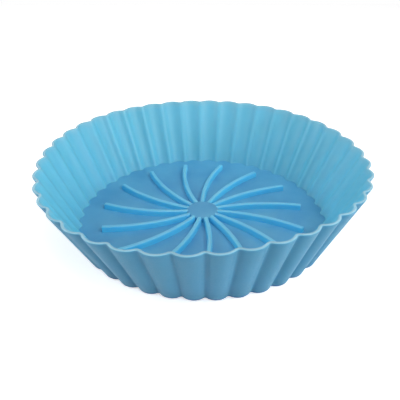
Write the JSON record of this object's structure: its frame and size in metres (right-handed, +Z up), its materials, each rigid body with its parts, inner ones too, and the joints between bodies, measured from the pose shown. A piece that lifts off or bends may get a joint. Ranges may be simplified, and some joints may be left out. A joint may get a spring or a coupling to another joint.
{
  "type": "silicone air fryer liner",
  "caption": "Shallow round silicone bowl with a flared fluted wall and swirl ribs on its floor. It lines an air fryer basket and holds food above the fat that runs off.",
  "frame": {"origin": "centre of the flat underside", "axes": "+Z up along the bowl's axis, -Y towards the viewer of the picture, where a flute's inward bend is"},
  "size_m": [0.199, 0.199, 0.044],
  "materials": {
    "silicone": "matte"
  },
  "bodies": {
    "root": {"floor_plate": "silicone", "fluted_wall": "silicone", "centre_disc": "silicone", "swirl_rib_01": "silicone", "swirl_rib_02": "silicone", "swirl_rib_03": "silicone", "swirl_rib_04": "silicone", "swirl_rib_05": "silicone", "swirl_rib_06": "silicone", "swirl_rib_07": "silicone", "swirl_rib_08": "silicone", "swirl_rib_09": "silicone", "swirl_rib_10": "silicone", "swirl_rib_11": "silicone", "swirl_rib_12": "silicone", "swirl_rib_13": "silicone", "swirl_rib_14": "silicone", "swirl_rib_15": "silicone"}
  },
  "joints": []
}
